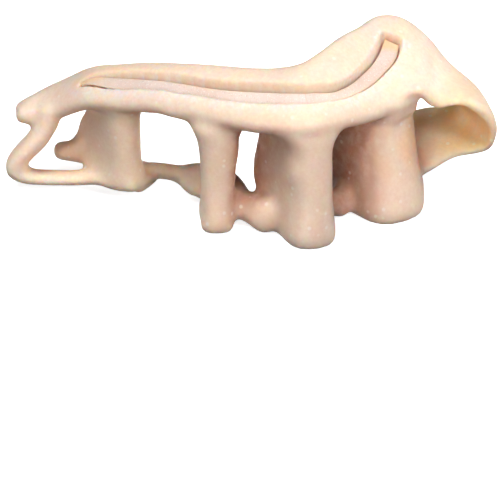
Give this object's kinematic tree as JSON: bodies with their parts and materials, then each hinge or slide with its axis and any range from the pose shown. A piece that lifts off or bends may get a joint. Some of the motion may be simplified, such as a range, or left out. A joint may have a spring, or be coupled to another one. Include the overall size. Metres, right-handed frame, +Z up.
{
  "type": "toe-spreading bunion corrector",
  "caption": "moulded silicone toe spreader: a grooved band over the toes, posts between them, a loop round the little toe and a wide ring that draws the big toe straight",
  "frame": {"origin": "centre of the bounding box's base, on the surface that the posts' feet stand on", "axes": "+X runs across the toes towards the big toe, +Y along the toes away from their tips, +Z up from the feet to the band"},
  "size_m": [0.0956, 0.035, 0.0337],
  "materials": {
    "silicone": "satin flesh-coloured silicone, slightly translucent",
    "pale_silicone": "translucent pale strip with a rough grain"
  },
  "bodies": {
    "root": {"toe_frame": "silicone", "groove_inlay": "pale_silicone"}
  },
  "joints": []
}
